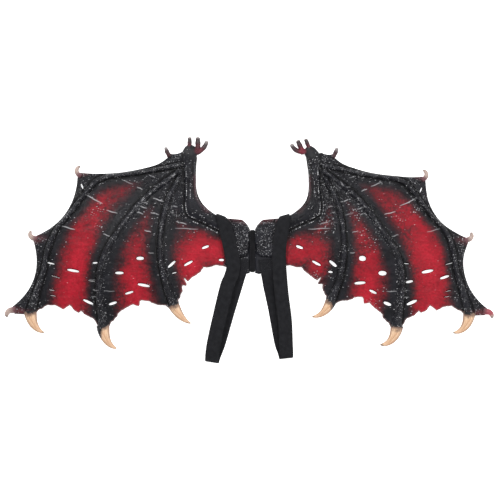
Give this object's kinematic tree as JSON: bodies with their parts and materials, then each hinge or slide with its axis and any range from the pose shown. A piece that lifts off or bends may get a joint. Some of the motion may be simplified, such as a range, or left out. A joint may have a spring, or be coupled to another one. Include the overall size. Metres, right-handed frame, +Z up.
{
  "type": "devil wings",
  "caption": "Costume devil wings: two cast foam bat wings with bones, torn slit webs, hooks and claws, a cloth centre strip and two elastic shoulder straps.",
  "frame": {"origin": "middle of the centre strip's underside, which rests on the surface or on the wearer's back", "axes": "+X along the span to the right wing seen from the front, +Y towards the hands, +Z up out of the painted faces"},
  "size_m": [0.8724, 0.4067, 0.0323],
  "materials": {
    "black_foam": "black painted cast foam, semi-gloss scales",
    "red_foam": "cast foam airbrushed red over black",
    "hook_foam": "cast foam tinted pinkish tan",
    "claw_foam": "cast foam painted tan",
    "webbing": "black woven elastic"
  },
  "bodies": {
    "root": {"centre_strip": "webbing", "left_membrane": "red_foam", "left_arm": "black_foam", "left_finger_1": "black_foam", "left_finger_2": "black_foam", "left_finger_3": "black_foam", "left_root_plate": "black_foam", "left_hand": "black_foam", "left_spur": "hook_foam", "left_hook_1": "hook_foam", "left_hook_2": "hook_foam", "left_hook_3": "hook_foam", "left_claw_1": "claw_foam", "left_claw_2": "claw_foam", "left_claw_3": "claw_foam", "left_strap": "webbing", "right_membrane": "red_foam", "right_arm": "black_foam", "right_finger_1": "black_foam", "right_finger_2": "black_foam", "right_finger_3": "black_foam", "right_root_plate": "black_foam", "right_hand": "black_foam", "right_spur": "hook_foam", "right_hook_1": "hook_foam", "right_hook_2": "hook_foam", "right_hook_3": "hook_foam", "right_claw_1": "claw_foam", "right_claw_2": "claw_foam", "right_claw_3": "claw_foam", "right_strap": "webbing"}
  },
  "joints": []
}
